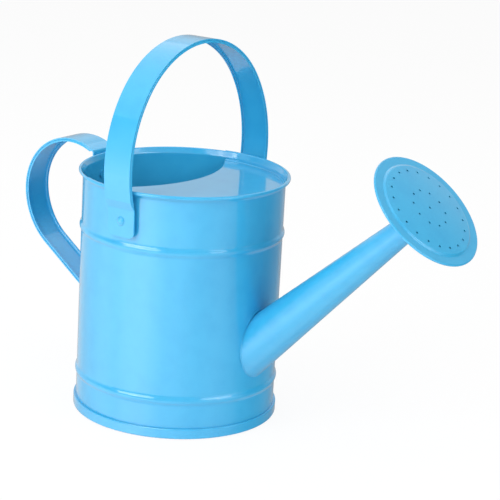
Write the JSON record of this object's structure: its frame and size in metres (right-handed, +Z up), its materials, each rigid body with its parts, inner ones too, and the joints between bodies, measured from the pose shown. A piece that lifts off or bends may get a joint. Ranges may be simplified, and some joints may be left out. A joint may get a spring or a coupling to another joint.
{
  "type": "watering can",
  "caption": "Round sheet-steel watering can with a half cover, a swinging bail, a rear loop handle and a tapered spout that ends in a domed sprinkler rose.",
  "frame": {"origin": "centre of the foot ring on the floor, on the axis of the round body", "axes": "+Z up, +X from the body's axis towards the spout, -X towards the rear handle, Y along the bail's pivots"},
  "size_m": [0.3353, 0.144, 0.2444],
  "materials": {
    "enamel_body": "glossy sky-blue paint on steel",
    "enamel_cover": "glossy sky-blue paint on steel",
    "enamel_spout": "glossy sky-blue paint on steel",
    "enamel_strap": "glossy sky-blue paint on steel"
  },
  "bodies": {
    "can": {"body_shell": "enamel_body", "base_disc": "enamel_body", "half_cover": "enamel_cover", "spout_tube": "enamel_spout", "rose_back": "enamel_spout", "rose_face": "enamel_spout", "bail_rivets": "enamel_strap", "bail_spacers": "enamel_strap", "rear_handle": "enamel_strap", "rear_handle_rivets": "enamel_strap"},
    "bail": {"bail_strap": "enamel_strap"}
  },
  "joints": [
    {"name": "bail_swing", "type": "hinge", "parent": "can", "child": "bail", "pos_m": [0.0037, 0, 0.1378], "axis": [0, 1, 0], "range_deg": [-68.5, 97.8]}
  ]
}
